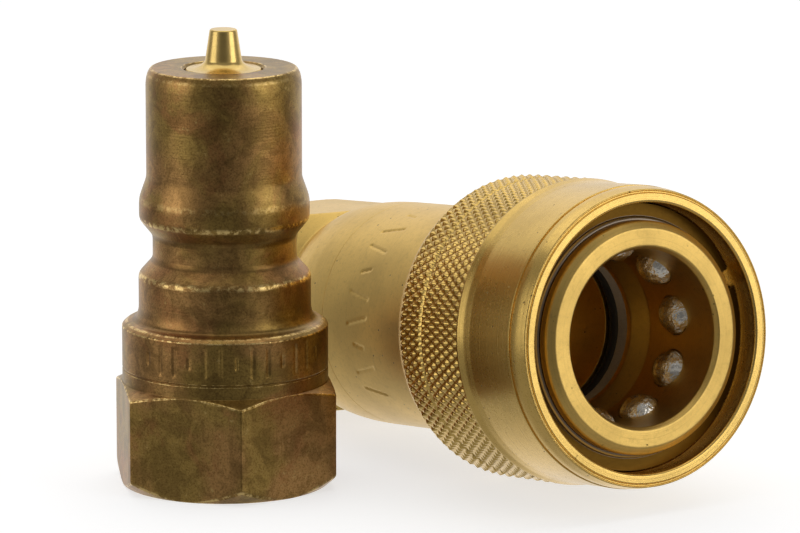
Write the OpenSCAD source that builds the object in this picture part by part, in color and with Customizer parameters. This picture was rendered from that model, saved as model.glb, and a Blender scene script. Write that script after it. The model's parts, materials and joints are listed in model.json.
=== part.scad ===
// Quick disconnect coupler, 1/4 in size, in two halves.
// The nipple stands on its hexagon at the origin. The coupler lies beside it on the
// rear edge of its knurl and on a flat of its hexagon, so its mouth is tilted up.
// The coupler's pieces are drawn with their axis along Z and the mouth at z = 0,
// and at_coupler() lays them down. A depth is a distance behind the sleeve's front edge.

/* [Nipple] */
// Outside diameter of the nose that seals in the coupler
nose_d = 14.2; // [13.8:0.1:14.3]
// Length from the base to the nose face
nipple_len = 38.5; // [38:0.1:40]
// Turn of the nipple's hexagon about its axis
nipple_hex_turn = 5; // [0:1:60]

/* [Coupler] */
// Largest diameter of the sleeve, over the knurls
knurl_d = 28.0; // [27.8:0.1:28.6]
// Diameter of the smooth band in front of the knurls
band_d = 27.4; // [27:0.1:27.6]
// Diameter of the coupler barrel
barrel_d = 21.1; // [21.1:0.1:21.3]
// Length from the sleeve's front edge to the end of the hexagon
coupler_len = 58.9; // [58.9:0.1:62]
// Depth of the plane of the locking balls
ball_depth = 6.5; // [6.5:0.1:6.6]

/* [Shared] */
// Width of both hexagons across their flats
hex_af = 19.05; // [19:0.05:20]
// Bore of the 1/4-18 pipe ports before threading
port_d = 11.12; // [11:0.01:11.2]
// Length of the thread in each port
port_len = 12.4; // [11:0.1:12.4]

/* [Place of the coupler] */
// Sideways distance from the nipple's axis to the coupler's axis
coupler_x = 24.5; // [24.5:0.5:60]
// Position of the mouth's centre along Y
mouth_y = -31.8; // [-60:0.1:-20]

/* [Hidden] */
$fn = 96;

brass = [0.80, 0.66, 0.36];
dark_brass = [0.35, 0.26, 0.12];
steel = [0.72, 0.72, 0.72];
black_rubber = [0.06, 0.06, 0.06];
grey_plastic = [0.45, 0.42, 0.38];

nose_r = nose_d / 2;
knurl_r = knurl_d / 2;
band_r = band_d / 2;
barrel_r = barrel_d / 2;
port_r = port_d / 2;
port_mouth_r = 6.9;
running = 0.05;

// Sleeve, front to back
lip_bore_r = 12.2;
lip_bevel_end = 1.2;
lip_groove_start = 1.75;
lip_groove_end = 2.05;
band_end = 8.1;
knurl_start = 9.1;
groove_start = 15.7;
groove_end = 16.1;
knurl_end = 18.7;
sleeve_end = 20.1;
sleeve_step = 2.6;
land_start = ball_depth + 0.4;
land_end = 9.6;
chamber_r = 12.35;
sleeve_travel = 4.0;

// Balls
ball_count = 10;
ball_r = 3.969 / 2;
ball_centre_r = 8.6;
ball_out = 1.25;
ball_phase = 6;
pocket_r = 2.03;
pocket_lip_r = 1.86;
ramp = ball_out / sleeve_travel;

// Barrel, front to back
barrel_face = 0.3;
mouth_r = 8.3;
face_chamfer_w = 0.7;
face_chamfer_h = 0.5;
socket_r = 8.0;
stop_groove_r = 10.15;
stop_groove_start = 1.7;
stop_groove_end = 2.55;
stop_ring_turn = 200;
socket_end = 10.4;
cone_end = 12.4;
seal_bore_r = nose_r + 2 * running;
seal_groove_r = 8.98;
seal_groove_start = 12.95;
seal_groove_end = 16.3;
backup_end = 14.4;
nose_seal_wire_r = 0.87;
nose_seal_squeeze = 0.01;
bore_step = 23.2;
bore_step_h = 0.6;
seat_face = 26.8;
chamber_bore_r = 6.4;
collar_r = chamber_r - running;
collar_start = 18.2;
collar_end = 20.7;
joint_start = 32.5;
joint_r = 8.6;
barrel_end = 37.0;

// Adapter: the spigot in the barrel, then the neck, the hexagon and the port
spigot_groove_r = 7.6;
spigot_groove_start = 33.2;
spigot_groove_end = 34.7;
spigot_seal_wire_r = 0.48;
guide_ring_r = chamber_bore_r + 0.4;
guide_ring_start = 40.15;
guide_ring_end = 40.85;
coupler_guide_start = 41.0;
coupler_guide_end = 42.6;
throat_r = 4.7;
neck_r = 9.35;
neck_start = 44.8;
hex_start = 45.6;
hex_corner_r = 10.95;
port_chamfer = 1.2;
coupler_port_end = coupler_len - port_chamfer - port_len;

// Valves: the poppet of each half, measured from the seat's face
valve_hole_r = 3.6;
seat_edge = 0.24;
poppet_gap = 0.1;
poppet_r = 3.45;
poppet_tip = 3.6;
seat_len = 2.0;
head_len = 0.9;
head_rim = 1.15;
seal_groove_wire_r = 0.52;
seal_wire_r = 0.5;
stem_r = 1.4;
coupler_stem_len = 16.1;
nipple_stem_len = 23.8;
spring_mean_r = 3.6;
spring_wire_r = 0.3;
head_back = poppet_gap + seat_len + head_rim + head_len;

// Nipple, base to nose
nipple_hex_end = 9.6;
nipple_hex_edge = 8.88;
nipple_base_r = 9.45;
stamp_collar_r = 9.43;
stamp_collar_end = 14.75;
shoulder_r = 7.88;
shoulder_start = 16.25;
shoulder_end = 19.5;
lock_groove_r = 6.57;
lock_groove_start = 20.95;
lock_groove_end = 23.15;
lock_collar_r = 7.785;
lock_collar_start = 24.65;
lock_collar_end = 26.5;
nose_start = 28.45;
nipple_valve_r = 4.9;
nipple_guide_r = 5.2;
nipple_guide_top = 15.8;
nipple_guide_bottom = 14.4;
nipple_ring_r = 5.6;
nipple_ring_bottom = 13.65;
nipple_ring_top = 14.35;

// The coupler's tilt brings the knurl's rear edge and the hexagon's flat down to z = 0
tilt = atan((knurl_r - hex_af / 2) / (coupler_len - knurl_end));
mouth_z = knurl_r * cos(tilt) + knurl_end * sin(tilt);

module at_coupler() {
    translate([coupler_x, mouth_y, mouth_z]) rotate([90 - tilt, 0, 0]) children();
}

// A turned ring or bar from points [radius, depth]
module turned(points) {
    rotate_extrude() polygon([for (p = points) [p[0], -p[1]]]);
}

module tube(r_out, r_in, start, end) {
    turned([[r_in, start], [r_out, start], [r_out, end], [r_in, end]]);
}

module o_ring(mean_r, wire_r, depth) {
    translate([0, 0, -depth]) rotate_extrude() translate([mean_r, 0]) circle(r = wire_r, $fn = 32);
}

// A helical spring along Z, six-sided wire, with the flat end coils left out
spring_steps = 18;
module spring(mean_r, wire_r, z_low, z_high, turns) {
    n = turns * spring_steps;
    rise = (z_high - z_low - 2 * wire_r) / n;
    points = [for (i = [0:n]) for (k = [0:5])
        let (a = i * 360 / spring_steps, b = k * 60, r = mean_r + wire_r * cos(b))
        [r * cos(a), r * sin(a), z_low + wire_r + i * rise + wire_r * sin(b)]];
    sides = [for (i = [0:n - 1]) for (k = [0:5])
        let (j = (k + 1) % 6) [i * 6 + k, i * 6 + j, (i + 1) * 6 + j, (i + 1) * 6 + k]];
    polyhedron(points, concat([[5, 4, 3, 2, 1, 0]], sides, [[for (k = [0:5]) n * 6 + k]]), convexity = 6);
}

// A wire snap ring with its gap
module snap_ring(r_out, r_in, start, end, gap) {
    difference() {
        tube(r_out, r_in, start, end);
        translate([-r_out, -gap / 2, -end - 1]) cube([r_out, gap, end - start + 2]);
    }
}

// Cuts a hexagon's six flats between two heights
module flats(z_low, z_high) {
    for (a = [30:60:330])
        rotate([0, 0, a]) translate([hex_af / 2, -hex_corner_r, z_low])
            cube([hex_corner_r, 2 * hex_corner_r, z_high - z_low]);
}

// ---- Valve pieces, drawn with the tip towards +Z and the seat's face at z = 0 ----

module valve_poppet(stem_len) {
    cove_w = 1.8;
    cove_h = 0.95;
    tip_r = 1.15;
    cove = [for (a = [0:15:90]) [poppet_r - cove_w * sin(a), cove_h * (1 - cos(a))]];
    head_r = poppet_r + head_rim;
    head_top = -seat_len - head_rim;
    head_low = head_top - head_len;
    edge = 0.1;
    difference() {
        rotate_extrude() polygon(concat(
            [[0, -stem_len], [stem_r - 3 * edge, -stem_len], [stem_r, -stem_len + 3 * edge],
             [stem_r, head_low], [head_r - 2 * edge, head_low], [head_r, head_low + 2 * edge],
             [head_r, head_top], [poppet_r, -seat_len], [poppet_r, -edge]],
            cove,
            [[tip_r + edge, poppet_tip - edge], [tip_r, poppet_tip], [0, poppet_tip]]));
        valve_seal_ring(seal_groove_wire_r);
    }
}

module valve_seal_ring(wire_r) {
    translate([0, 0, -seat_len - 0.86]) rotate_extrude() translate([3.78, 0]) circle(r = wire_r, $fn = 32);
}

// A spider that guides the stem and lets the fluid past
module valve_guide(r_out, z_low, z_high) {
    slot_r = (r_out + stem_r) / 2 + 0.2;
    difference() {
        translate([0, 0, z_low]) cylinder(r = r_out, h = z_high - z_low);
        translate([0, 0, z_low - 1]) cylinder(r = stem_r + running, h = z_high - z_low + 2, $fn = 48);
        for (a = [0:90:270])
            rotate([0, 0, a]) translate([slot_r, 0, z_low - 1])
                cylinder(r = (r_out - stem_r) / 2 - 0.75, h = z_high - z_low + 2, $fn = 32);
    }
}

// ---- Coupler half ----

module coupler_body() {
    color(brass) at_coupler() difference() {
        turned([
            [mouth_r, barrel_face], [barrel_r - face_chamfer_w, barrel_face],
            [barrel_r, barrel_face + face_chamfer_h],
            [barrel_r, stop_groove_start], [stop_groove_r, stop_groove_start],
            [stop_groove_r, stop_groove_end], [barrel_r, stop_groove_end],
            [barrel_r, collar_start], [collar_r, collar_start], [collar_r, collar_end - 0.7],
            [collar_r - 0.7, collar_end], [barrel_r, collar_end], [barrel_r, barrel_end],
            [joint_r, barrel_end], [joint_r, joint_start], [chamber_bore_r, joint_start],
            [chamber_bore_r, seat_face + seat_len + chamber_bore_r - valve_hole_r],
            [valve_hole_r, seat_face + seat_len], [valve_hole_r, seat_face + seat_edge],
            [valve_hole_r + seat_edge, seat_face], [seal_bore_r - bore_step_h, seat_face],
            [seal_bore_r - bore_step_h, bore_step], [seal_bore_r, bore_step],
            [seal_bore_r, seal_groove_end], [seal_groove_r, seal_groove_end],
            [seal_groove_r, seal_groove_start], [seal_bore_r, seal_groove_start],
            [seal_bore_r, cone_end], [socket_r, socket_end], [socket_r, barrel_face + 0.45]]);
        for (i = [0:ball_count - 1]) ball_pocket(i);
    }
}

module ball_pocket(i) {
    lip_depth = 1.0;
    rotate([0, 0, ball_phase + i * 360 / ball_count]) translate([ball_centre_r, 0, -ball_depth])
        rotate([0, 90, 0]) {
            cylinder(r = pocket_r, h = 4);
            translate([0, 0, -lip_depth]) cylinder(r1 = pocket_lip_r, r2 = pocket_r, h = lip_depth);
        }
}

module coupler_adapter() {
    spigot_r = joint_r - running;
    shoulder = [for (a = [0:15:90])
        [neck_r + (barrel_r - neck_r) * cos(a),
         barrel_end + (neck_start - barrel_end) * (0.15 + 0.85 * sin(a))]];
    color(brass) at_coupler() difference() {
        turned(concat(
            [[chamber_bore_r, joint_start + 0.1], [spigot_r, joint_start + 0.1],
             [spigot_r, spigot_groove_start], [spigot_groove_r, spigot_groove_start],
             [spigot_groove_r, spigot_groove_end], [spigot_r, spigot_groove_end],
             [spigot_r, barrel_end], [barrel_r, barrel_end]],
            shoulder,
            [[neck_r, hex_start], [hex_corner_r, hex_start + 2.0],
             [hex_corner_r, coupler_len - 0.8], [hex_af / 2 + 0.1, coupler_len],
             [port_mouth_r, coupler_len], [port_r, coupler_len - port_chamfer],
             [port_r, coupler_port_end], [throat_r, coupler_port_end],
             [throat_r, coupler_guide_end], [chamber_bore_r, coupler_guide_end],
             [chamber_bore_r, guide_ring_end], [guide_ring_r, guide_ring_end],
             [guide_ring_r, guide_ring_start], [chamber_bore_r, guide_ring_start]]));
        flats(-coupler_len - 1, -hex_start);
    }
}

module adapter_seal() {
    color(black_rubber) at_coupler()
        o_ring(spigot_groove_r + spigot_seal_wire_r + 0.02, spigot_seal_wire_r,
            (spigot_groove_start + spigot_groove_end) / 2);
}

module sleeve() {
    ramp_end_r = barrel_r + running + ramp * (land_start - sleeve_step);
    color(brass) at_coupler() turned([
        [lip_bore_r + 0.15, 0], [13.05, 0], [13.12, 0.14], [13.22, 0.14], [13.3, 0.04], [13.42, 0.1],
        [band_r - 0.08, lip_bevel_end], [band_r - 0.05, lip_groove_start],
        [band_r - 0.2, lip_groove_start], [band_r - 0.2, lip_groove_end], [band_r, lip_groove_end],
        [band_r, band_end], [band_r + 0.1, band_end + 0.45], [knurl_r, knurl_start],
        [knurl_r, groove_start], [knurl_r - 0.4, groove_start], [knurl_r - 0.4, groove_end],
        [knurl_r, groove_end], [knurl_r, knurl_end], [knurl_r - 0.7, sleeve_end],
        [chamber_r, sleeve_end], [chamber_r, land_end], [barrel_r + running, land_end],
        [barrel_r + running, land_start], [ramp_end_r, sleeve_step],
        [lip_bore_r, sleeve_step], [lip_bore_r, 0.15]]);
}

module sleeve_spring() {
    color(steel) at_coupler()
        spring((barrel_r + chamber_r) / 2, 0.5, -collar_start + 0.02, -land_end - 0.02, 4);
}

module sleeve_stop_ring() {
    color(steel) at_coupler() rotate([0, 0, stop_ring_turn])
        snap_ring(lip_bore_r - 0.15, stop_groove_r + running,
            stop_groove_start + 0.08, stop_groove_end - 0.05, 1.6);
}

module ball(i) {
    color(steel) at_coupler() rotate([0, 0, ball_phase + (i - 1) * 360 / ball_count])
        translate([ball_centre_r, 0, -ball_depth]) sphere(r = ball_r);
}

module nose_seal() {
    color(black_rubber) at_coupler()
        o_ring(seal_bore_r + nose_seal_wire_r - nose_seal_squeeze, nose_seal_wire_r,
            seal_groove_end - running - nose_seal_wire_r);
}

module backup_ring() {
    color(grey_plastic) at_coupler()
        tube(seal_groove_r - 0.08, seal_bore_r + running, seal_groove_start + running, backup_end);
}

module coupler_poppet() {
    color(brass) at_coupler() translate([0, 0, -seat_face - poppet_gap]) valve_poppet(coupler_stem_len);
}

module coupler_poppet_seal() {
    color(black_rubber) at_coupler()
        translate([0, 0, -seat_face - poppet_gap]) valve_seal_ring(seal_wire_r);
}

module coupler_poppet_spring() {
    color(steel) at_coupler()
        spring(spring_mean_r, spring_wire_r, 0.02 - coupler_guide_start, -seat_face - head_back - 0.02, 6);
}

module coupler_valve_guide() {
    color(brass) at_coupler()
        valve_guide(chamber_bore_r - running, -coupler_guide_end, -coupler_guide_start);
}

module coupler_guide_ring() {
    color(steel) at_coupler()
        snap_ring(guide_ring_r - running, chamber_bore_r - 1.2,
            guide_ring_start + running, guide_ring_end - running, 2.5);
}

// ---- Nipple half, drawn where it stands ----

module nipple_body() {
    step_w = 1.15;
    step_h = 1.1;
    step = [for (a = [90:-30:0]) [shoulder_r + step_w * (1 - cos(a)), shoulder_start - step_h * sin(a)]];
    seat_low = nipple_len - seat_len;
    nose_edge = 0.12;
    color(dark_brass) difference() {
        rotate_extrude() polygon(concat(
            [[port_r, 0], [nipple_base_r, 0], [hex_corner_r, 1.3], [hex_corner_r, nipple_hex_edge],
             [stamp_collar_r, nipple_hex_end], [stamp_collar_r, stamp_collar_end]],
            step,
            [[shoulder_r, shoulder_end], [lock_groove_r, lock_groove_start],
             [lock_groove_r, lock_groove_end], [lock_collar_r, lock_collar_start],
             [lock_collar_r, lock_collar_end],
             [nose_r, nose_start], [nose_r, nipple_len - 1.25], [nose_r - nose_edge, nipple_len - 0.55],
             [nose_r - 0.45, nipple_len], [valve_hole_r + seat_edge, nipple_len],
             [valve_hole_r, nipple_len - seat_edge], [valve_hole_r, seat_low],
             [nipple_valve_r, seat_low - (nipple_valve_r - valve_hole_r)],
             [nipple_valve_r, nipple_guide_top], [nipple_guide_r, nipple_guide_top],
             [nipple_guide_r, nipple_ring_top], [nipple_ring_r, nipple_ring_top],
             [nipple_ring_r, nipple_ring_bottom], [nipple_guide_r, nipple_ring_bottom],
             [nipple_guide_r, port_len], [port_r, port_len]]));
        rotate([0, 0, nipple_hex_turn]) flats(-1, nipple_hex_end);
    }
}

module nipple_poppet() {
    color(brass) translate([0, 0, nipple_len - poppet_gap]) valve_poppet(nipple_stem_len);
}

module nipple_poppet_seal() {
    color(black_rubber) translate([0, 0, nipple_len - poppet_gap]) valve_seal_ring(seal_wire_r);
}

module nipple_poppet_spring() {
    color(steel)
        spring(spring_mean_r, spring_wire_r, nipple_guide_top + 0.02, nipple_len - head_back - 0.02, 8);
}

module nipple_valve_guide() {
    color(brass) valve_guide(nipple_guide_r - running, nipple_guide_bottom, nipple_guide_top);
}

module nipple_guide_ring() {
    color(steel) mirror([0, 0, 1])
        snap_ring(nipple_ring_r - running, nipple_guide_r - 1.0,
            nipple_ring_bottom + running, nipple_ring_top - running, 2.2);
}

coupler_body();
coupler_adapter();
adapter_seal();
sleeve();
sleeve_spring();
sleeve_stop_ring();
for (i = [1:ball_count]) {
    ball(i);
}
nose_seal();
backup_ring();
coupler_poppet();
coupler_poppet_seal();
coupler_poppet_spring();
coupler_valve_guide();
coupler_guide_ring();
nipple_body();
nipple_poppet();
nipple_poppet_seal();
nipple_poppet_spring();
nipple_valve_guide();
nipple_guide_ring();
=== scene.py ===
"""Looks of the quick disconnect coupler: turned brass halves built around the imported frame.

Every mesh is built in millimetres in a turning frame, with its axis along Z, then laid in the object's
frame. The nipple's turning frame is the object's frame itself. The coupler's has its mouth at z = 0 and
runs down -Z, so a depth behind the mouth is -z.
"""

import json
import math

import bmesh
import bpy
import numpy as np
from mathutils import Euler, Matrix, Vector


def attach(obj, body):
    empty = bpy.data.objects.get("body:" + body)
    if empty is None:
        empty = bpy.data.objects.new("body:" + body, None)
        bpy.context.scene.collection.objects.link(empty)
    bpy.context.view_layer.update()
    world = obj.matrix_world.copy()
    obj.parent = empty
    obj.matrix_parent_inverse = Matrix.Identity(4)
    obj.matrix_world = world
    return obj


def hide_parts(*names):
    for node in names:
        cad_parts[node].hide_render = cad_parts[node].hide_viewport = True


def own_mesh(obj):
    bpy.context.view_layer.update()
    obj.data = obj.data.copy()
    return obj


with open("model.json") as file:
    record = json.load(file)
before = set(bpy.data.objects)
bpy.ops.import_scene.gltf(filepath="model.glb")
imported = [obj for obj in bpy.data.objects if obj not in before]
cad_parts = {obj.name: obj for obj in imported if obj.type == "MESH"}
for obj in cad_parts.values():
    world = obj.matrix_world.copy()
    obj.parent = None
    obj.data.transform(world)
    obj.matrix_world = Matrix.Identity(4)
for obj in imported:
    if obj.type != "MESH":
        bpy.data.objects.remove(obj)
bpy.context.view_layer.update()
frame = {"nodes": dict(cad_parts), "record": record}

MM = 0.001

# ---------------------------------------------------------------- sizes, in mm, as the CAD has them

# Both halves
HEX_R = 9.525
CORNER_R = 10.95
PORT_R = 5.56
PORT_LEN = 12.4

# Sleeve: radii, and depths from its front edge to its back
BAND_R = 13.7
KNURL_R = 14.0
LIP_BORE_R = 12.2
CHAMBER_R = 12.35
LAND_R = 10.6
LIP_BEVEL_END = 1.2
LIP_GROOVE_START = 1.75
SLEEVE_STEP = 2.6
LAND_START = 6.9
BAND_END = 8.1
LAND_END = 9.6
GROOVE_START = 15.7
GROOVE_END = 16.1
KNURL_END = 18.7
SLEEVE_END = 20.1

# Balls and their pockets
BALL_COUNT = 10
BALL_PHASE = 6
BALL_DEPTH = 6.5
BALL_CENTRE_R = 8.6
POCKET_R = 2.03

# Barrel
BARREL_R = 10.55
BARREL_FACE = 0.3
BARREL_END = 37.0
MOUTH_R = 8.3
FACE_CHAMFER_W = 0.7
FACE_CHAMFER_H = 0.5
SOCKET_R = 8.0
SOCKET_END = 10.4
CONE_END = 12.4
STOP_GROOVE_R = 10.15
STOP_GROOVE_START = 1.7
STOP_GROOVE_END = 2.55
SEAL_BORE_R = 7.2
SEAL_GROOVE_R = 8.98
SEAL_GROOVE_START = 12.95
SEAL_GROOVE_END = 16.3
BORE_STEP = 23.2
BORE_STEP_R = 6.6
SEAT_FACE = 26.8
CHAMBER_BORE_R = 6.4
COLLAR_R = 12.3
COLLAR_START = 18.2
COLLAR_END = 20.7
JOINT_R = 8.6
JOINT_START = 32.5

# Adapter
SPIGOT_R = 8.55
SPIGOT_START = 32.6
SPIGOT_GROOVE_R = 7.6
SPIGOT_GROOVE_START = 33.2
SPIGOT_GROOVE_END = 34.7
GUIDE_RING_R = 6.8
GUIDE_RING_START = 40.15
GUIDE_RING_END = 40.85
COUPLER_GUIDE_START = 41.0
COUPLER_GUIDE_END = 42.6
THROAT_R = 4.7
NECK_R = 9.35
NECK_START = 44.8
HEX_START = 45.6
COUPLER_LEN = 58.9
PORT_MOUTH_R = 6.9
PORT_CHAMFER = 1.2
PORT_START = COUPLER_LEN - PORT_CHAMFER
PORT_END = PORT_START - PORT_LEN

# Valves: lengths from the seat's face
VALVE_HOLE_R = 3.6
SEAT_EDGE = 0.24
SEAT_LEN = 2.0
POPPET_GAP = 0.1
POPPET_R = 3.45
POPPET_TIP = 3.6
POPPET_SPRING_R = 3.6
POPPET_WIRE_R = 0.3
HEAD_RIM = 1.15
HEAD_LEN = 0.9
STEM_R = 1.4
COUPLER_STEM_LEN = 16.1
NIPPLE_STEM_LEN = 23.8

# Nipple: radii, and heights from its base to its nose
NIPPLE_LEN = 38.5
NIPPLE_BASE_R = 9.45
NIPPLE_HEX_EDGE = 8.88
NIPPLE_HEX_END = 9.6
STAMP_COLLAR_R = 9.43
STAMP_COLLAR_END = 14.75
SHOULDER_R = 7.88
SHOULDER_END = 19.5
LOCK_GROOVE_R = 6.57
LOCK_GROOVE_START = 20.95
LOCK_GROOVE_END = 23.15
LOCK_COLLAR_R = 7.785
LOCK_COLLAR_START = 24.65
LOCK_COLLAR_END = 26.5
NOSE_R = 7.1
NOSE_START = 28.45
NIPPLE_VALVE_R = 4.9
NIPPLE_GUIDE_R = 5.2
NIPPLE_GUIDE_TOP = 15.8
NIPPLE_RING_R = 5.6
NIPPLE_RING_BOTTOM = 13.65
NIPPLE_RING_TOP = 14.35

# Clearance at a spring's ends
SPRING_GAP = 0.02

# Where each poppet's flat face is, and how far behind it the poppet's head ends
COUPLER_POPPET_FACE = -SEAT_FACE - POPPET_GAP
NIPPLE_POPPET_FACE = NIPPLE_LEN - POPPET_GAP
HEAD_END = SEAT_LEN + HEAD_RIM + HEAD_LEN

# ---------------------------------------------------------------- the two turning frames

# Depth of the socket mount's place behind the mouth
SOCKET_PLACE = 17.5

mounts = {m["name"]: m for m in frame["record"]["mounts"]}


def coupler_matrix():
    """The coupler's turning frame, in metres, from the socket mount's place and axis."""
    axis = Vector(mounts["coupler_socket"]["axis"]).normalized()
    mouth = Vector(mounts["coupler_socket"]["pos_m"]) + axis * SOCKET_PLACE * MM
    side = Vector((1, 0, 0))
    up = axis.cross(side)
    m = Matrix((side, up, axis)).transposed().to_4x4()
    m.translation = mouth
    return m


COUPLER = coupler_matrix()
NIPPLE = Matrix.Identity(4)

# ---------------------------------------------------------------- outlines

FILLET_STEPS = 3

# Plain stamped strokes: (angle, z, length, lean), in degrees and mm
BARREL_STROKES = [(110 + 13 * i, -31.2, 3.0 if i % 3 else 1.4, 12 if i % 2 else -12) for i in range(9)]
COLLAR_STROKES = [(190 + 9 * i, 12.9, 2.4 if i % 3 else 0.9, 0) for i in range(13)]
STROKE_DEPTH = 0.09
STROKE_HALF_WIDTH = 0.13

THREAD_PITCH = 1.411
THREAD_HEIGHT = 0.6


def rounded(points):
    """An open turned outline from (r, z, fillet) points, each r and z a number or an array over the columns.

    Returns r and z, of shape (rows, columns), and each row's wear: 1 on a rounded edge, -1 in a corner.
    """
    columns = max(np.size(v) for p in points for v in p[:2])
    p = np.array([[np.broadcast_to(np.asarray(v, float), columns) for v in q[:2]] for q in points])
    fillet = [q[2] for q in points]
    n = len(p)
    middle = p.mean(2)
    after = np.roll(middle, -1, axis=0)
    way = np.sign((middle[:, 0] * after[:, 1] - after[:, 0] * middle[:, 1]).sum())
    rows, worn = [], []
    for i in range(n):
        a, b, c = p[(i - 1) % n], p[i], p[(i + 1) % n]
        if fillet[i] == 0 or i in (0, n - 1):
            rows.append(b)
            worn.append(0.0)
            continue
        la = np.hypot(*(a - b))
        lc = np.hypot(*(c - b))
        ua, uc = (a - b) / np.maximum(la, 1e-9), (c - b) / np.maximum(lc, 1e-9)
        reach = np.minimum(fillet[i], 0.4 * np.minimum(la, lc))
        guard = np.minimum(0.07, 0.12 * np.minimum(la, lc))
        bulge = -(ua[0] * uc[1] - ua[1] * uc[0]).mean() * way
        first, last = b + ua * reach, b + uc * reach
        rows.append(first + ua * guard)
        worn.append(0.0)
        for k in range(FILLET_STEPS + 1):
            s = k / FILLET_STEPS
            rows.append((1 - s) ** 2 * first + 2 * s * (1 - s) * b + s * s * last)
            bend = (0.4 + 2.4 * s * (1 - s)) * min(1.0, abs(bulge) * 1.6)
            worn.append(bend if bulge > 0 else -bend)
        rows.append(last + uc * guard)
        worn.append(0.0)
    rows = np.array(rows)
    return rows[:, 0], rows[:, 1], np.array(worn)


def even_columns(n):
    return np.arange(n) / n * 2 * np.pi


def hex_columns(turn):
    """Column angles, closer together at a hexagon's corners, and the hexagon's radius at each of them.

    A strip beside each corner leans in a little, as on drawn bar, and the corner itself is rounded.
    The columns are 0.75 degrees apart on a flat and 0.25 degrees apart near a corner.
    """
    lean = math.radians(3.2)
    strip = 1.15
    strip_start = HEX_R * math.tan(math.pi / 6) - strip
    strip_angle = math.atan(strip_start / HEX_R)
    near_corner = np.radians(np.arange(27, 30.01, 0.25))
    around_strip = strip_angle + np.radians([-0.2, 0.2])
    half = np.concatenate([np.radians(np.arange(0, 26.9, 0.75)), near_corner, around_strip])
    local = np.unique(np.round(np.concatenate([half, -half[half > 0]]), 6))[:-1]
    angle = np.abs(local)
    reach = HEX_R * math.cos(lean) + strip_start * math.sin(lean)
    near = reach / np.cos(angle - lean)
    far = reach / np.cos(math.pi / 3 - angle - lean)
    sharpness = 30.0
    corner = -np.log(np.exp(-sharpness * near) + np.exp(-sharpness * far)) / sharpness
    radius = np.where(angle < strip_angle, HEX_R / np.cos(angle), corner)
    theta = np.concatenate([local + math.pi / 6 + k * math.pi / 3 for k in range(6)])
    return theta + turn, np.tile(radius, 6)


def port_thread(theta, z_first, z_last):
    """Rows of a pipe thread cut into a port's wall. It gets lower on the way, and fades out at both ends."""
    rows_a_pitch = 8
    count = int(abs(z_last - z_first) / THREAD_PITCH * rows_a_pitch)
    r_rows, z_rows = [], []
    for i in range(count + 1):
        f = i / count
        z = z_first + (z_last - z_first) * f
        phase = (z / THREAD_PITCH - theta / (2 * np.pi)) % 1
        tooth = np.clip(1.25 - np.abs(phase * 2 - 1) * 1.5, 0, 1)
        fade = min(1, (1 - f) * 8) * min(1, f * 12)
        r_rows.append(PORT_R + THREAD_HEIGHT * tooth * fade * (1 - 0.3 * f))
        z_rows.append(np.full_like(theta, z))
    return np.array(r_rows), np.array(z_rows)


def straight_rows(r, z_first, z_last, theta, spacing):
    """Evenly spaced rows along a cylinder, for stretches that carry fine detail."""
    z = np.linspace(z_first, z_last, max(2, int(abs(z_last - z_first) / spacing)))
    return np.full((z.size, theta.size), float(r)), np.repeat(z[:, None], theta.size, 1)


def stamp(r, z, theta, strokes):
    """Presses short plain strokes, (angle, z, length, lean), into a cylinder's rows, with a low burr."""
    cut = np.zeros_like(r)
    for angle, middle, length, lean in strokes:
        across = np.angle(np.exp(1j * (theta - math.radians(angle)))) * r
        along = z - middle
        c, s = math.cos(math.radians(lean)), math.sin(math.radians(lean))
        u, v = across * c + along * s, -across * s + along * c
        away = np.hypot(u, np.maximum(np.abs(v) - length / 2, 0)) / STROKE_HALF_WIDTH
        groove = np.clip(1.5 - away, 0, 1)
        burr = np.exp(-((away - 2.1) ** 2) * 3)
        cut = np.maximum(cut, groove) - 0.22 * burr * (cut <= 0)
    return r - STROKE_DEPTH * cut


# ---------------------------------------------------------------- mesh building


def new_mesh(name, co_mm, faces, matrix):
    world = np.array(matrix)
    co = np.asarray(co_mm) * MM @ world[:3, :3].T + world[:3, 3]
    mesh = bpy.data.meshes.new(name)
    mesh.from_pydata(co.tolist(), [], faces)
    return mesh


def finish_mesh(name, mesh, weld=False, smooth_angle=None):
    """Turns the faces outward, joins poles where asked, and makes the object."""
    bm = bmesh.new()
    bm.from_mesh(mesh)
    if weld:
        bmesh.ops.remove_doubles(bm, verts=bm.verts, dist=1e-7)
    bmesh.ops.recalc_face_normals(bm, faces=bm.faces)
    bm.to_mesh(mesh)
    bm.free()
    mesh.shade_smooth()
    if smooth_angle is not None:
        mesh.set_sharp_from_angle(angle=math.radians(smooth_angle))
    obj = bpy.data.objects.new(name, mesh)
    bpy.context.scene.collection.objects.link(obj)
    return obj


def ring_mesh(name, r, z, theta, worn, matrix, closed=True):
    """A mesh from rows of rings. An open outline's rows of zero radius become poles."""
    rows, columns = r.shape
    x, y = r * np.cos(theta), r * np.sin(theta)
    base = np.arange(rows * columns).reshape(rows, columns)
    nxt = np.roll(base, -1, axis=1)
    last = rows if closed else rows - 1
    quads = [np.stack([base[i], nxt[i], nxt[(i + 1) % rows], base[(i + 1) % rows]], -1) for i in range(last)]
    co = np.stack([x, y, z + 0 * x], -1).reshape(-1, 3)
    mesh = new_mesh(name, co, np.concatenate(quads).tolist(), matrix)
    edge = mesh.attributes.new("edge", "FLOAT", "POINT")
    edge.data.foreach_set("value", np.repeat(worn, columns).astype(np.float32))
    return finish_mesh(name, mesh, weld=not closed)


def lathe(name, stretches, theta, matrix):
    """A closed turned mesh from stretches of (r, z, wear) that follow each other around its outline."""
    r = np.concatenate([np.broadcast_to(s[0], (len(s[0]), theta.size)) for s in stretches])
    z = np.concatenate([np.broadcast_to(s[1], (len(s[1]), theta.size)) for s in stretches])
    return ring_mesh(name, r, z, theta, np.concatenate([s[2] for s in stretches]), matrix)


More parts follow.
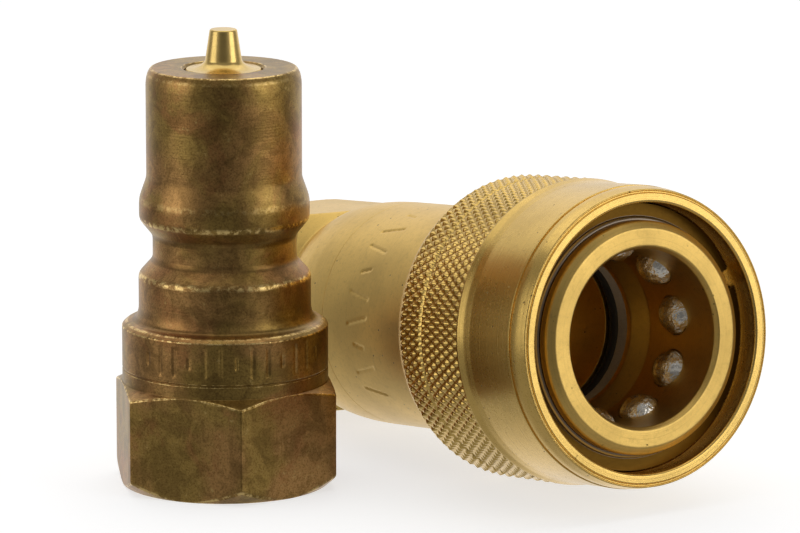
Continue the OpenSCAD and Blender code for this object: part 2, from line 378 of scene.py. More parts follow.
def sweep_mesh(name, section, mean_r, z_at, angles, matrix):
    """A wire: section points (dr, dz) carried around the axis, closed with a cap at each end."""
    n = len(section)
    dr, dz = np.array(section).T
    r = mean_r + dr[None, :]
    x, y = r * np.cos(angles)[:, None], r * np.sin(angles)[:, None]
    z = z_at[:, None] + dz[None, :]
    co = np.stack([x, y, z], -1).reshape(-1, 3)
    faces = []
    for i in range(len(angles) - 1):
        for k in range(n):
            j = (k + 1) % n
            faces.append([i * n + k, i * n + j, (i + 1) * n + j, (i + 1) * n + k])
    faces.append(list(range(n)))
    end = (len(angles) - 1) * n
    faces.append([end + k for k in reversed(range(n))])
    return finish_mesh(name, new_mesh(name, co, faces, matrix), smooth_angle=50)


def place(obj, body, slot_name, material, *nodes):
    """Gives a piece its material and body, and hides the CAD nodes that it stands for. Its slot_name is not
    used.
    """
    obj.data.materials.clear()
    obj.data.materials.append(material)
    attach(obj, body)
    if nodes:
        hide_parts(*nodes)


# ---------------------------------------------------------------- material building


class Nodes:
    """A thin layer over a material's node tree, so that a material reads as a recipe."""

    def __init__(self, name, matrix):
        self.material = bpy.data.materials.new(name)
        self.material.use_nodes = True
        self.tree = self.material.node_tree
        self.tree.nodes.clear()
        out = self.tree.nodes.new("ShaderNodeOutputMaterial")
        self.shader = self.tree.nodes.new("ShaderNodeBsdfPrincipled")
        self.link(self.shader.outputs[0], out.inputs[0])
        coords = self.tree.nodes.new("ShaderNodeTexCoord")
        mapping = self.tree.nodes.new("ShaderNodeMapping")
        mapping.vector_type = "TEXTURE"
        mapping.inputs["Location"].default_value = matrix.translation
        mapping.inputs["Rotation"].default_value = matrix.to_euler()
        mapping.inputs["Scale"].default_value = (MM, MM, MM)
        self.link(coords.outputs["Object"], mapping.inputs["Vector"])
        self.place = mapping.outputs[0]
        split = self.tree.nodes.new("ShaderNodeSeparateXYZ")
        self.link(self.place, split.inputs[0])
        self.x, self.y, self.z = split.outputs
        self.radius = self.math("SQRT", self.math("ADD", self.math("MULTIPLY", self.x, self.x),
                                                  self.math("MULTIPLY", self.y, self.y)))

    def link(self, a, b):
        self.tree.links.new(a, b)

    def feed(self, value, socket):
        if isinstance(value, (int, float)):
            socket.default_value = value
        elif isinstance(value, (tuple, list)):
            without_alpha = len(value) == 3 and len(socket.default_value) == 4
            socket.default_value = (*value, 1.0) if without_alpha else value
        else:
            self.link(value, socket)

    def math(self, operation, a, b=0.0):
        node = self.tree.nodes.new("ShaderNodeMath")
        node.operation = operation
        self.feed(a, node.inputs[0])
        self.feed(b, node.inputs[1])
        return node.outputs[0]

    def noise(self, scale, detail=3.0, rough=0.55, distortion=0.0):
        node = self.tree.nodes.new("ShaderNodeTexNoise")
        self.feed(scale, node.inputs["Scale"])
        self.feed(detail, node.inputs["Detail"])
        self.feed(rough, node.inputs["Roughness"])
        self.feed(distortion, node.inputs["Distortion"])
        self.link(self.place, node.inputs["Vector"])
        return node.outputs["Fac"]

    def lines(self, scale, detail=2.0):
        """Noise that changes only along the axis and outwards: the marks of a turning tool."""
        node = self.tree.nodes.new("ShaderNodeTexNoise")
        node.noise_dimensions = "1D"
        along = self.math("ADD", self.z, self.math("MULTIPLY", self.radius, 1.37))
        self.link(along, node.inputs["W"])
        self.feed(scale, node.inputs["Scale"])
        self.feed(detail, node.inputs["Detail"])
        return node.outputs["Fac"]

    def spots(self, scale, size):
        """Small round pits: 1 in a pit and 0 outside."""
        node = self.tree.nodes.new("ShaderNodeTexVoronoi")
        self.feed(scale, node.inputs["Scale"])
        self.link(self.place, node.inputs["Vector"])
        return self.ramp(node.outputs["Distance"], size, size * 0.5)

    def ramp(self, value, low, high):
        """0 at low and 1 at high, smooth between; low may be above high."""
        node = self.tree.nodes.new("ShaderNodeMapRange")
        node.interpolation_type = "SMOOTHSTEP"
        self.feed(value, node.inputs["Value"])
        self.feed(low, node.inputs["From Min"])
        self.feed(high, node.inputs["From Max"])
        return node.outputs["Result"]

    def span(self, value, low, high):
        """value, from 0 to 1, spread between low and high."""
        node = self.tree.nodes.new("ShaderNodeMapRange")
        self.feed(value, node.inputs["Value"])
        self.feed(low, node.inputs["To Min"])
        self.feed(high, node.inputs["To Max"])
        return node.outputs["Result"]

    def mix(self, share, a, b):
        node = self.tree.nodes.new("ShaderNodeMix")
        node.data_type = "RGBA"
        self.feed(share, node.inputs["Factor"])
        self.feed(a, node.inputs[6])
        self.feed(b, node.inputs[7])
        return node.outputs[2]

    def attribute(self, name):
        node = self.tree.nodes.new("ShaderNodeAttribute")
        node.attribute_name = name
        return node.outputs["Fac"]

    def both(self, a, b):
        return self.math("MULTIPLY", a, b)

    def bump(self, *layers):
        """Bumps from (height, depth in mm) layers, the coarsest first."""
        normal = None
        for height, depth in layers:
            node = self.tree.nodes.new("ShaderNodeBump")
            node.inputs["Strength"].default_value = 1.0
            node.inputs["Distance"].default_value = depth * MM
            self.link(height, node.inputs["Height"])
            if normal is not None:
                self.link(normal, node.inputs["Normal"])
            normal = node.outputs[0]
        self.link(normal, self.shader.inputs["Normal"])

    def finish(self, color, roughness, metallic=1.0):
        self.feed(color, self.shader.inputs["Base Color"])
        self.feed(roughness, self.shader.inputs["Roughness"])
        self.shader.inputs["Metallic"].default_value = metallic
        return self.material


BRASS = (0.83, 0.55, 0.155)
STAIN_BROWN = (0.30, 0.20, 0.07)
PIT_BROWN = (0.07, 0.045, 0.015)
STEEL_DIRT = (0.28, 0.23, 0.16)


def scaled(color, by):
    return tuple(by * c for c in color)


def bright_brass(name, matrix, tone=BRASS, rough=(0.24, 0.42), marks=0.010, grain=0.004, pitted=1.0):
    """Turned brass. marks and grain are the depths in mm of the tool marks and of the fine grain."""
    n = Nodes(name, matrix)
    broad = n.noise(0.16, 3.0, 0.5)
    fine = n.noise(2.2, 4.0, 0.65)
    turned = n.lines(6.0, 3.0)
    speck = n.noise(9.0, 2.0, 0.6)
    pits = n.both(n.spots(1.3, 0.16), n.ramp(n.noise(0.7, 2.0), 0.56, 0.64))
    stain = n.both(n.ramp(n.noise(0.5, 5.0, 0.7), 0.60, 0.72), n.ramp(n.noise(3.0, 3.0), 0.45, 0.6))
    color = n.mix(n.ramp(broad, 0.35, 0.7), tone, scaled(tone, 0.84))
    color = n.mix(n.both(n.ramp(fine, 0.48, 0.75), 0.30), color, scaled(tone, 0.55))
    color = n.mix(n.both(n.ramp(speck, 0.40, 0.75), 0.22), color, scaled(tone, 0.6))
    color = n.mix(n.both(n.ramp(turned, 0.5, 0.8), 0.22), color, scaled(tone, 0.62))
    color = n.mix(n.both(stain, 0.35), color, STAIN_BROWN)
    color = n.mix(n.both(pits, 0.85 * pitted), color, PIT_BROWN)
    rough_value = n.span(n.both(n.math("ADD", fine, broad), 0.5), *rough)
    n.bump((turned, marks), (speck, grain), (n.math("SUBTRACT", 1.0, pits), 0.02 * pitted))
    return n.finish(color, rough_value)


def aged_brass(name, matrix):
    """Dark, patchy brass that is worn to bright metal along its edges."""
    n = Nodes(name, matrix)
    broad = n.noise(0.11, 3.0, 0.55, distortion=0.4)
    drift = n.noise(0.17, 4.0, 0.6, distortion=0.5)
    patch = n.noise(0.40, 5.0, 0.7, distortion=0.7)
    fine = n.noise(1.9, 5.0, 0.72)
    grain = n.noise(5.5, 3.0, 0.75)
    turned = n.lines(6.0, 3.0)
    dark = (0.125, 0.070, 0.020)
    bronze = (0.50, 0.275, 0.095)
    olive = (0.43, 0.275, 0.075)
    red = (0.43, 0.200, 0.072)
    fleck = (0.68, 0.48, 0.17)
    gold = (0.95, 0.68, 0.27)
    color = n.mix(n.ramp(broad, 0.42, 0.58), olive, bronze)
    color = n.mix(n.both(n.ramp(drift, 0.52, 0.64), 0.75), color, red)
    color = n.mix(n.both(n.ramp(patch, 0.56, 0.40), 0.45), color, dark)
    color = n.mix(n.both(n.ramp(grain, 0.56, 0.36), 0.50), color, dark)
    flecks = n.both(n.ramp(fine, 0.56, 0.68), n.ramp(patch, 0.50, 0.62))
    color = n.mix(n.both(flecks, 0.7), color, fleck)
    edge = n.attribute("edge")
    worn = n.both(n.ramp(edge, 0.25, 0.95), n.ramp(n.math("ADD", fine, n.both(patch, 0.5)), 0.69, 0.84))
    color = n.mix(n.both(worn, 0.9), color, gold)
    color = n.mix(n.both(n.ramp(edge, -0.2, -0.9), 0.45), color, dark)
    rough_value = n.span(n.math("SUBTRACT", grain, n.both(worn, 0.6)), 0.26, 0.46)
    n.bump((turned, 0.008), (fine, 0.010), (grain, 0.008))
    return n.finish(color, rough_value)


def steel(name, matrix, color=(0.62, 0.60, 0.57), rough=(0.16, 0.34), dirt=0.4, dents=0.004, painted_shade_rim=None):
    """Steel. dents is a depth in mm. A rim of painted shade, (radius, color), paints that color outside that
    radius.
    """
    n = Nodes(name, matrix)
    if painted_shade_rim:
        painted_shade_r, painted_shade_color = painted_shade_rim
        # Outside the rim's radius the color is painted shade, the dark brown of a gap in shade.
        color = n.mix(n.ramp(n.radius, painted_shade_r, painted_shade_r + 0.08), color, painted_shade_color)
    fine = n.noise(3.0, 4.0, 0.6)
    tint = n.mix(n.both(n.ramp(n.noise(0.8, 3.0), 0.45, 0.75), dirt), color, STEEL_DIRT)
    n.bump((n.noise(1.4, 2.0), dents * 4), (fine, dents), (n.noise(16.0, 2.0), 0.002))
    return n.finish(tint, n.span(fine, *rough))


def rubber(name, matrix, color=(0.012, 0.012, 0.013)):
    """A matt seal material: black rubber, or plastic in another color."""
    n = Nodes(name, matrix)
    fine = n.noise(8.0, 3.0)
    tint = n.mix(fine, color, scaled(color, 2.2))
    n.bump((fine, 0.01))
    return n.finish(tint, n.span(fine, 0.45, 0.62), metallic=0.0)


SLEEVE_BRASS = bright_brass("sleeve_brass", COUPLER, rough=(0.20, 0.34))
BARREL_BRASS = bright_brass("barrel_brass", COUPLER, rough=(0.30, 0.46), marks=0.005, grain=0.007)
COUPLER_VALVE = bright_brass("coupler_valve_brass", COUPLER, tone=(0.82, 0.60, 0.26))
NIPPLE_VALVE = bright_brass("nipple_valve_brass", NIPPLE, tone=(0.86, 0.60, 0.20), rough=(0.20, 0.32),
                            marks=0.004, pitted=0.3)
AGED_BRASS = aged_brass("aged_brass", NIPPLE)
BALL_STEEL = steel("ball_steel", COUPLER, color=(0.92, 0.86, 0.76), rough=(0.10, 0.24), dirt=0.25, dents=0.05)
# Grey-brown steel for the wire; the dark brown color past 10.9 mm paints shade on the ring's web.
RING_STEEL_AND_PAINTED_SHADE = steel("snap_ring_steel", COUPLER, color=(0.24, 0.19, 0.145), rough=(0.26, 0.42), dirt=0.0,
                   painted_shade_rim=(10.9, (0.11, 0.055, 0.008)))
SPRING_STEEL = steel("spring_steel", COUPLER)
SEAL_RUBBER = rubber("seal_rubber", COUPLER)
BACKUP_PLASTIC = rubber("backup_plastic", COUPLER, color=(0.26, 0.215, 0.16))

NODE_MATERIALS = {
    "adapter_seal": SEAL_RUBBER,
    "nose_seal": SEAL_RUBBER,
    "backup_ring": BACKUP_PLASTIC,
    "coupler_poppet_seal": SEAL_RUBBER,
    "nipple_poppet_seal": SEAL_RUBBER,
    "coupler_valve_guide": COUPLER_VALVE,
    "coupler_guide_ring": SPRING_STEEL,
    "nipple_valve_guide": NIPPLE_VALVE,
    "nipple_guide_ring": SPRING_STEEL,
}


def paint_cad_nodes():
    """Gives the CAD nodes that stay in view their materials."""
    names = list(NODE_MATERIALS) + ["ball_%d" % i for i in range(1, BALL_COUNT + 1)]
    for name in names:
        obj = frame["nodes"][name]
        obj.data.materials.clear()
        obj.data.materials.append(NODE_MATERIALS.get(name, BALL_STEEL))


# ---------------------------------------------------------------- the sleeve with its knurls

KNURL_AROUND = 98
KNURL_LENGTH = 1.5
KNURL_DEPTH = 0.27
KNURL_SPREAD = 0.10
KNURL_COLUMNS = 8
KNURL_ROW = 0.125
# The cove in front of the knurl ends 0.9 mm further back than in the CAD
KNURL_START = 10.0
KNURL_LEAD = 0.06
SLEEVE_BACK_R = KNURL_R - 0.7
RAMP_MOUTH_R = 11.94


def knurl_envelope(depth):
    """The turned radius behind the band before it is rolled: a cove, two lands and a groove."""
    groove_r = KNURL_R - 0.38
    wall = 0.04
    depths = [BAND_END, BAND_END + 0.9, KNURL_START, GROOVE_START, GROOVE_START + wall, GROOVE_END - wall,
              GROOVE_END, KNURL_END, SLEEVE_END]
    radii = [BAND_R, BAND_R + 0.08, KNURL_R, KNURL_R, groove_r, groove_r, KNURL_R, KNURL_R, SLEEVE_BACK_R]
    return np.interp(depth, depths, radii)


def knurl_cut(theta, depth):
    """How far the rolled diamonds lie under the envelope. Their heights vary a little."""
    u = theta / (2 * np.pi) * KNURL_AROUND
    v = depth / KNURL_LENGTH
    a, b = u + v, u - v
    ta = 1 - np.abs((a % 1) * 2 - 1)
    tb = 1 - np.abs((b % 1) * 2 - 1)
    hill = np.minimum(ta, tb)
    cell = np.sin((np.floor(a) % KNURL_AROUND) * 12.9898 + (np.floor(b) % KNURL_AROUND) * 78.233) * 43758.5453
    spread = KNURL_SPREAD * (cell - np.floor(cell))
    return KNURL_DEPTH * ((1 - hill) ** 1.2 + spread)


def build_sleeve():
    theta = even_columns(KNURL_AROUND * KNURL_COLUMNS)
    groove_r = BAND_R - 0.2
    front = rounded([
        (LIP_BORE_R, -SLEEVE_STEP, 0), (LIP_BORE_R, -0.15, 0.08), (LIP_BORE_R + 0.15, 0.0, 0.08),
        (13.02, 0.0, 0.05), (13.1, -0.16, 0.04), (13.22, -0.16, 0.04), (13.3, -0.03, 0.06),
        (13.42, -0.1, 0.06), (BAND_R - 0.08, -LIP_BEVEL_END, 0.3), (BAND_R - 0.06, -LIP_GROOVE_START, 0.04),
        (groove_r, -LIP_GROOVE_START - 0.03, 0.03), (groove_r, -2.03, 0.03), (BAND_R, -2.06, 0.05),
        (BAND_R, -BAND_END + 0.02, 0)])
    last = SLEEVE_END - 0.02
    depth = np.append(np.arange(BAND_END, last, KNURL_ROW), last)[:, None]
    envelope = knurl_envelope(depth)
    rolled = np.minimum(envelope, KNURL_R - knurl_cut(theta, depth))
    knurled = (np.where(depth > KNURL_START - KNURL_LEAD, rolled, envelope), -depth, np.zeros(depth.size))
    back = rounded([
        (SLEEVE_BACK_R, -SLEEVE_END, 0), (CHAMBER_R + 0.15, -SLEEVE_END, 0.06),
        (CHAMBER_R, -SLEEVE_END + 0.15, 0.05), (CHAMBER_R, -LAND_END, 0.2), (LAND_R, -LAND_END, 0.1),
        (LAND_R, -LAND_START, 0.2), (RAMP_MOUTH_R, -SLEEVE_STEP, 0)])
    obj = lathe("knurled_sleeve", [front, knurled, back], theta, COUPLER)
    place(obj, "sleeve", "sleeve_brass", SLEEVE_BRASS, "sleeve")


# ---------------------------------------------------------------- the rest of the coupler


def build_barrel():
    theta = even_columns(480)
    front = rounded([
        (SEAL_BORE_R, -SEAL_GROOVE_START, 0), (SEAL_BORE_R, -CONE_END, 0.1), (SOCKET_R, -SOCKET_END, 0.1),
        (SOCKET_R, -0.75, 0.1), (MOUTH_R, -BARREL_FACE, 0.1), (BARREL_R - FACE_CHAMFER_W, -BARREL_FACE, 0.1),
        (BARREL_R, -BARREL_FACE - FACE_CHAMFER_H, 0.2), (BARREL_R, -STOP_GROOVE_START, 0.05),
        (STOP_GROOVE_R, -STOP_GROOVE_START - 0.02, 0.04), (STOP_GROOVE_R, -STOP_GROOVE_END + 0.02, 0.04),
        (BARREL_R, -STOP_GROOVE_END, 0.05), (BARREL_R, -COLLAR_START, 0.05), (COLLAR_R, -COLLAR_START, 0.1),
        (COLLAR_R, -COLLAR_END + 0.7, 0.1), (COLLAR_R - 0.7, -COLLAR_END, 0.1), (BARREL_R, -COLLAR_END, 0.05),
        (BARREL_R, -26.0, 0)])
    marked_r, marked_z = straight_rows(BARREL_R, -26.2, -36.6, theta, 0.13)
    marked = (stamp(marked_r, marked_z, theta, BARREL_STROKES), marked_z, np.zeros(len(marked_z)))
    seat_back = SEAT_FACE + SEAT_LEN
    back = rounded([
        (BARREL_R, -36.7, 0), (BARREL_R, -BARREL_END, 0.06), (JOINT_R, -BARREL_END, 0.05),
        (JOINT_R, -JOINT_START, 0.05), (CHAMBER_BORE_R, -JOINT_START, 0.1),
        (CHAMBER_BORE_R, -seat_back - (CHAMBER_BORE_R - VALVE_HOLE_R), 0.1), (VALVE_HOLE_R, -seat_back, 0.1),
        (VALVE_HOLE_R, -SEAT_FACE - SEAT_EDGE, 0.08), (VALVE_HOLE_R + SEAT_EDGE, -SEAT_FACE, 0.08),
        (BORE_STEP_R, -SEAT_FACE, 0.05), (BORE_STEP_R, -BORE_STEP, 0.05), (SEAL_BORE_R, -BORE_STEP, 0.05),
        (SEAL_BORE_R, -SEAL_GROOVE_END, 0.05), (SEAL_GROOVE_R, -SEAL_GROOVE_END, 0.03),
        (SEAL_GROOVE_R, -SEAL_GROOVE_START, 0)])
    barrel = lathe("barrel", [front, marked, back], theta, COUPLER)
    drill_pockets(barrel)
    place(barrel, "coupler", "barrel_brass", BARREL_BRASS, "coupler_body")


def drill_pockets(barrel):
    """Cuts the radial pockets that hold the locking balls, each narrower at its inner lip."""
    bm = bmesh.new()
    segments = 40
    inner, outer = (7.2, 1.79), (12.5, POCKET_R)
    for i in range(BALL_COUNT):
        angle = math.radians(BALL_PHASE + i * 360 / BALL_COUNT)
        turn = COUPLER @ Matrix.Rotation(angle, 4, "Z")
        loops = []
        for reach, r in (inner, (BALL_CENTRE_R, POCKET_R), outer):
            loop = []
            for k in range(segments):
                a = 2 * math.pi * k / segments
                point = Vector((reach, r * math.cos(a), r * math.sin(a) - BALL_DEPTH)) * MM
                loop.append(bm.verts.new(turn @ point))
            loops.append(loop)
        for low, high in zip(loops, loops[1:]):
            for k in range(segments):
                j = (k + 1) % segments
                bm.faces.new((low[k], low[j], high[j], high[k]))
        bm.faces.new(loops[0][::-1])
        bm.faces.new(loops[-1])
    bmesh.ops.recalc_face_normals(bm, faces=bm.faces)
    mesh = bpy.data.meshes.new("cutter")
    bm.to_mesh(mesh)
    bm.free()
    cutter = bpy.data.objects.new("cutter", mesh)
    bpy.context.scene.collection.objects.link(cutter)
    cut = barrel.modifiers.new("pockets", "BOOLEAN")
    cut.operation = "DIFFERENCE"
    cut.solver = "EXACT"
    cut.object = cutter
    bpy.context.view_layer.update()
    drilled = bpy.data.meshes.new_from_object(barrel.evaluated_get(bpy.context.evaluated_depsgraph_get()))
    barrel.modifiers.clear()
    barrel.data = drilled
    drilled.set_sharp_from_angle(angle=math.radians(32))
    bpy.data.objects.remove(cutter)


def build_adapter():
    theta, hex_r = hex_columns(0)
    front_chamfer = HEX_START + 2.0 * (hex_r - NECK_R) / (CORNER_R - NECK_R)
    end_chamfer = COUPLER_LEN - (hex_r - 9.3) * 0.6
    straight = 0.15
    ogive = [(NECK_R + (BARREL_R - NECK_R) * math.cos(a),
              -(BARREL_END + (NECK_START - BARREL_END) * (straight + (1 - straight) * math.sin(a))), 0.3)
             for a in np.radians(np.arange(0, 90, 15))]
    outline = rounded([
        (CHAMBER_BORE_R, -SPIGOT_START, 0.1), (SPIGOT_R, -SPIGOT_START, 0.1),
        (SPIGOT_R, -SPIGOT_GROOVE_START, 0.04), (SPIGOT_GROOVE_R, -SPIGOT_GROOVE_START, 0.04),
        (SPIGOT_GROOVE_R, -SPIGOT_GROOVE_END, 0.04), (SPIGOT_R, -SPIGOT_GROOVE_END, 0.04),
        (SPIGOT_R, -BARREL_END, 0.04), (BARREL_R, -BARREL_END, 0.05), *ogive, (NECK_R, -NECK_START, 0.3),
        (NECK_R, -HEX_START, 0.1), (hex_r, -front_chamfer, 0.2), (hex_r, -end_chamfer, 0.15),
        (9.2, -COUPLER_LEN, 0.1), (PORT_MOUTH_R, -COUPLER_LEN, 0.1), (PORT_R, -PORT_START, 0)])
    thread_r, thread_z = port_thread(theta, -PORT_START, -PORT_END)
    thread = (thread_r, thread_z, np.zeros(len(thread_r)))
    inside = rounded([
        (THROAT_R, -PORT_END, 0), (THROAT_R, -COUPLER_GUIDE_END, 0.1),
        (CHAMBER_BORE_R, -COUPLER_GUIDE_END, 0.05), (CHAMBER_BORE_R, -GUIDE_RING_END, 0.04),
        (GUIDE_RING_R, -GUIDE_RING_END, 0.04), (GUIDE_RING_R, -GUIDE_RING_START, 0.04),
        (CHAMBER_BORE_R, -GUIDE_RING_START, 0.04), (CHAMBER_BORE_R, -32.8, 0)])
    obj = lathe("adapter", [outline, thread, inside], theta, COUPLER)
    place(obj, "coupler", "barrel_brass", BARREL_BRASS, "coupler_adapter")


def build_stop_ring():
    """A snap ring with a round wire's front and a thin web out to the sleeve, squared off at its gap. The web
    is a sheet of painted shade, put where the gap between the barrel and the sleeve lies in shade.
    """
    mean_r = 10.56
    wire_r = 0.34
    # The web out to the sleeve is a dark sheet that stands in for the shaded gap: painted shade.
    shade_web_reach = 1.48
    shade_web_front = -0.06
    half_gap = 0.8 / mean_r
    gap_turn = math.radians(20)
    ring_depth = 2.14
    around = np.linspace(0, 1.5 * np.pi, 19)
    section = [(wire_r * math.cos(a), wire_r * math.sin(a)) for a in around]
    section += [(shade_web_reach, -wire_r), (shade_web_reach, shade_web_front), (wire_r + 0.02, shade_web_front)]
    angles = np.linspace(half_gap, 2 * np.pi - half_gap, 220) + gap_turn
    obj = sweep_mesh("stop_ring", section, mean_r, np.full(angles.size, -ring_depth), angles, COUPLER)
    place(obj, "coupler", "snap_ring_steel", RING_STEEL_AND_PAINTED_SHADE, "sleeve_stop_ring")


def build_spring(name, node, body, matrix, mean_r, wire_r, z_fixed, z_free, turns):
    """A round-wire compression spring, closed at its ends."""
    around = np.linspace(0, 2 * np.pi, 14, endpoint=False)
    section = [(wire_r * math.cos(a), wire_r * math.sin(a)) for a in around]
    low, high = min(z_fixed, z_free) + wire_r, max(z_fixed, z_free) - wire_r
    angles = np.linspace(0, 2 * np.pi * turns, int(40 * turns))
    closed_turn, closed_rise = 0.75, 2.2 * wire_r
    height = high - low
    rise = np.interp(np.linspace(0, turns, angles.size), [0, closed_turn, turns - closed_turn, turns],
                     [0, closed_rise, height - closed_rise, height])
    obj = sweep_mesh(name, section, mean_r, low + rise, angles, matrix)
    place(obj, body, "spring_steel", SPRING_STEEL, node)
    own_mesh(obj)


# ---------------------------------------------------------------- the valves


def poppet_outline(stem_len):
    """The poppet's outline from the stem's end to the tip, with its flat face at z = 0."""
    cove_w, cove_h = 1.8, 0.95
    head_r = POPPET_R + HEAD_RIM
    cove = [(POPPET_R - cove_w * math.sin(a), cove_h - cove_h * math.cos(a), 0)
            for a in np.radians(np.arange(7.5, 91, 7.5))]
    return [(0.0, -stem_len, 0), (STEM_R - 0.3, -stem_len, 0.05), (STEM_R, -stem_len + 0.3, 0.1),
            (STEM_R, -HEAD_END, 0.15), (head_r - 0.2, -HEAD_END, 0.1), (head_r, -HEAD_END + 0.2, 0.1),
            (head_r, -SEAT_LEN - HEAD_RIM, 0.1), (POPPET_R, -SEAT_LEN, 0.1), (POPPET_R, -0.12, 0.03),
            (POPPET_R - 0.07, 0.0, 0.02), *cove, (1.26, POPPET_TIP - 0.1, 0.06), (1.16, POPPET_TIP, 0.05),
            (0.0, POPPET_TIP, 0)]


def build_poppet(name, node, body, stem_len, face, matrix, material):
    r, z, worn = rounded(poppet_outline(stem_len))
    theta = even_columns(96)
    r = np.repeat(r, theta.size, 1)
    z = np.repeat(z, theta.size, 1) + face
    obj = ring_mesh(name, r, z, theta, worn, matrix, closed=False)
    place(obj, body, "valve_brass", material, node)


# ---------------------------------------------------------------- the nipple

HEX_TURN = math.radians(5)


def build_nipple_body():
    theta, hex_r = hex_columns(HEX_TURN)
    top_drop = NIPPLE_HEX_END - NIPPLE_HEX_EDGE
    base_rise = 1.3
    top = NIPPLE_HEX_END - (hex_r - STAMP_COLLAR_R) / (CORNER_R - STAMP_COLLAR_R) * top_drop
    low = (hex_r - NIPPLE_BASE_R) / (CORNER_R - NIPPLE_BASE_R) * base_rise
    line_r = STAMP_COLLAR_R - 0.09
    hexagon = rounded([
        (PORT_R, 0.0, 0), (NIPPLE_BASE_R, 0.0, 0.1), (hex_r, low, 0.22), (hex_r, top, 0.16),
        (STAMP_COLLAR_R, NIPPLE_HEX_END + 0.02, 0.06), (STAMP_COLLAR_R, 10.72, 0.05), (line_r, 10.78, 0.03),
        (line_r, 10.88, 0.03), (STAMP_COLLAR_R, 10.95, 0.05), (STAMP_COLLAR_R, 11.1, 0)])
    marked_r, marked_z = straight_rows(STAMP_COLLAR_R, 11.2, 14.4, theta, 0.12)
    marked = (stamp(marked_r, marked_z, theta, COLLAR_STROKES), marked_z, np.zeros(len(marked_z)))
    seat_back = NIPPLE_LEN - SEAT_LEN
    upper = rounded([
        (STAMP_COLLAR_R, 14.5, 0), (STAMP_COLLAR_R, STAMP_COLLAR_END, 0.2), (9.03, 15.12, 0.25),
        (8.2, 15.3, 0.5), (SHOULDER_R, 16.2, 0.5), (SHOULDER_R, SHOULDER_END, 0.35),
        (LOCK_GROOVE_R, LOCK_GROOVE_START, 0.35), (LOCK_GROOVE_R, LOCK_GROOVE_END, 0.35),
        (LOCK_COLLAR_R, LOCK_COLLAR_START, 0.35), (LOCK_COLLAR_R, LOCK_COLLAR_END, 0.5),
        (NOSE_R, NOSE_START, 0.3), (NOSE_R, 37.2, 0.5), (NOSE_R - 0.12, 37.95, 0.4), (6.66, NIPPLE_LEN, 0.16),
        (VALVE_HOLE_R + SEAT_EDGE, NIPPLE_LEN, 0.08), (VALVE_HOLE_R, NIPPLE_LEN - SEAT_EDGE, 0.06),
        (VALVE_HOLE_R, seat_back, 0.1), (NIPPLE_VALVE_R, seat_back - (NIPPLE_VALVE_R - VALVE_HOLE_R), 0.2),
        (NIPPLE_VALVE_R, NIPPLE_GUIDE_TOP, 0.1), (NIPPLE_GUIDE_R, NIPPLE_GUIDE_TOP, 0.05),
        (NIPPLE_GUIDE_R, NIPPLE_RING_TOP, 0.05), (NIPPLE_RING_R, NIPPLE_RING_TOP, 0.05),
        (NIPPLE_RING_R, NIPPLE_RING_BOTTOM, 0.05), (NIPPLE_GUIDE_R, NIPPLE_RING_BOTTOM, 0.05),
        (NIPPLE_GUIDE_R, PORT_LEN, 0)])
    thread_r, thread_z = port_thread(theta, 12.35, 0.35)
    thread = (thread_r, thread_z, np.zeros(len(thread_r)))
    obj = lathe("nipple_shell", [hexagon, marked, upper, thread], theta, NIPPLE)
    place(obj, "nipple", "aged_brass", AGED_BRASS, "nipple_body")


# ---------------------------------------------------------------- the stage, the lights and the camera

CAMERA_PLACE = (-289.2, -454.7, 127.8)
CAMERA_TURN = math.radians(34.16)
CAMERA_DOWN = math.radians(11.313)
CAMERA_LENS = 270.6
FLOOR_GLOW = 0.66
WORLD_BASE = 0.26


def build_floor():
    """A large pale floor. Metal doesn't mirror it, as under a cut-out, but it takes the object's shadow."""
    size = 3.0
    mesh = bpy.data.meshes.new("floor")
    corners = [(-size, -size, 0), (size, -size, 0), (size, size, 0), (-size, size, 0)]
    mesh.from_pydata(corners, [], [(0, 1, 2, 3)])
    floor = bpy.data.objects.new("floor", mesh)
    bpy.context.scene.collection.objects.link(floor)
    material = bpy.data.materials.new("floor")
    material.use_nodes = True
    shader = material.node_tree.nodes["Principled BSDF"]
    shader.inputs["Base Color"].default_value = (0.6, 0.6, 0.6, 1)
    shader.inputs["Roughness"].default_value = 0.9
    shader.inputs["Specular IOR Level"].default_value = 0.0
    shader.inputs["Emission Color"].default_value = (1, 1, 1, 1)
    shader.inputs["Emission Strength"].default_value = FLOOR_GLOW
    mesh.materials.append(material)
    floor.visible_glossy = False
    floor.visible_shadow = False


def area_light(name, place_mm, target_mm, size_mm, radiance):
    light = bpy.data.lights.new(name, "AREA")
    light.shape = "RECTANGLE"
    light.size, light.size_y = size_mm[0] * MM, size_mm[1] * MM
    light.energy = radiance * math.pi * light.size * light.size_y
    obj = bpy.data.objects.new(name, light)
    obj.location = Vector(place_mm) * MM
    aim = (Vector(target_mm) - Vector(place_mm)).normalized()
    obj.rotation_euler = aim.to_track_quat("-Z", "Y").to_euler()
    bpy.context.scene.collection.objects.link(obj)


def from_camera(right, back, up):
    """A place given as seen in the picture: to the right, away from the viewer, and up, in mm."""
    c, s = math.cos(CAMERA_TURN), math.sin(CAMERA_TURN)
    return (right * c + back * s, -right * s + back * c, up)


def build_lights():
    aim = from_camera(20, 0, 18)
    area_light("top", from_camera(0, 110, 420), aim, (620, 460), 0.76)
    area_light("right", from_camera(440, -175, 120), aim, (300, 320), 1.5)
    area_light("left", from_camera(-430, -170, 130), aim, (330, 320), 1.1)


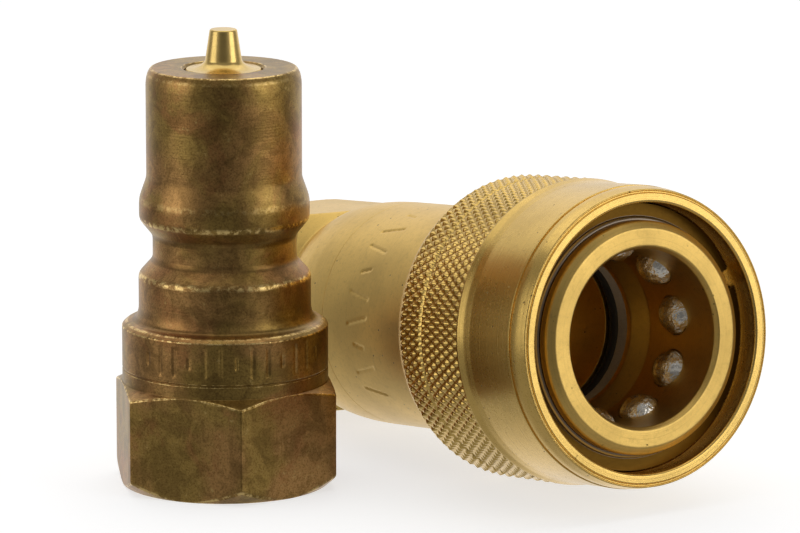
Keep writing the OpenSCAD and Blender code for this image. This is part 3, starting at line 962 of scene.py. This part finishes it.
def build_world():
    """Studio walls: bright behind the object and below, dim on the viewer's side."""
    world = bpy.data.worlds.new("studio")
    world.use_nodes = True
    tree = world.node_tree
    coords = tree.nodes.new("ShaderNodeTexCoord")
    split = tree.nodes.new("ShaderNodeSeparateXYZ")
    tree.links.new(coords.outputs["Generated"], split.inputs[0])
    x, y, z = split.outputs
    away = from_camera(0, 1, 0)

    def calc(operation, a, b):
        node = tree.nodes.new("ShaderNodeMath")
        node.operation = operation
        for value, socket in zip((a, b), node.inputs):
            if isinstance(value, float):
                socket.default_value = value
            else:
                tree.links.new(value, socket)
        return node.outputs[0]

    def ramp(value, low, high, amount):
        node = tree.nodes.new("ShaderNodeMapRange")
        node.interpolation_type = "SMOOTHSTEP"
        tree.links.new(value, node.inputs["Value"])
        node.inputs["From Min"].default_value = low
        node.inputs["From Max"].default_value = high
        node.inputs["To Max"].default_value = amount
        return node.outputs["Result"]

    behind = calc("ADD", calc("MULTIPLY", x, away[0]), calc("MULTIPLY", y, away[1]))
    strength = calc("ADD", ramp(behind, 0.35, 0.85, 0.68), ramp(z, -0.25, -0.8, 0.08))
    strength = calc("ADD", strength, WORLD_BASE)
    strength = calc("SUBTRACT", strength, ramp(behind, -0.8, -0.95, 0.14))
    background = tree.nodes["Background"]
    background.inputs[0].default_value = (1, 1, 1, 1)
    tree.links.new(strength, background.inputs[1])
    bpy.context.scene.world = world


def build_camera():
    data = bpy.data.cameras.new("camera")
    data.sensor_width = 36
    data.lens = CAMERA_LENS
    data.clip_start, data.clip_end = 0.01, 10
    camera = bpy.data.objects.new("camera", data)
    camera.location = Vector(CAMERA_PLACE) * MM
    camera.rotation_euler = Euler((math.pi / 2 - CAMERA_DOWN, 0, -CAMERA_TURN))
    bpy.context.scene.collection.objects.link(camera)
    bpy.context.scene.camera = camera


paint_cad_nodes()
build_sleeve()
build_barrel()
build_adapter()
build_stop_ring()
build_spring("sleeve_coil", "sleeve_spring", "coupler", COUPLER, mean_r=11.45, wire_r=0.5,
             z_fixed=-COLLAR_START + SPRING_GAP, z_free=-LAND_END - SPRING_GAP, turns=4)
build_spring("coupler_coil", "coupler_poppet_spring", "coupler", COUPLER,
             mean_r=POPPET_SPRING_R, wire_r=POPPET_WIRE_R, z_fixed=-COUPLER_GUIDE_START + SPRING_GAP,
             z_free=COUPLER_POPPET_FACE - HEAD_END - SPRING_GAP, turns=6)
build_spring("nipple_coil", "nipple_poppet_spring", "nipple", NIPPLE,
             mean_r=POPPET_SPRING_R, wire_r=POPPET_WIRE_R, z_fixed=NIPPLE_GUIDE_TOP + SPRING_GAP,
             z_free=NIPPLE_POPPET_FACE - HEAD_END - SPRING_GAP, turns=8)
build_poppet("coupler_valve", "coupler_poppet", "coupler_poppet", COUPLER_STEM_LEN, COUPLER_POPPET_FACE,
             COUPLER, COUPLER_VALVE)
build_poppet("nipple_valve", "nipple_poppet", "nipple_poppet", NIPPLE_STEM_LEN, NIPPLE_POPPET_FACE,
             NIPPLE, NIPPLE_VALVE)
build_nipple_body()
build_floor()
build_lights()
build_world()
build_camera()
bpy.context.scene.view_settings.view_transform = "Standard"
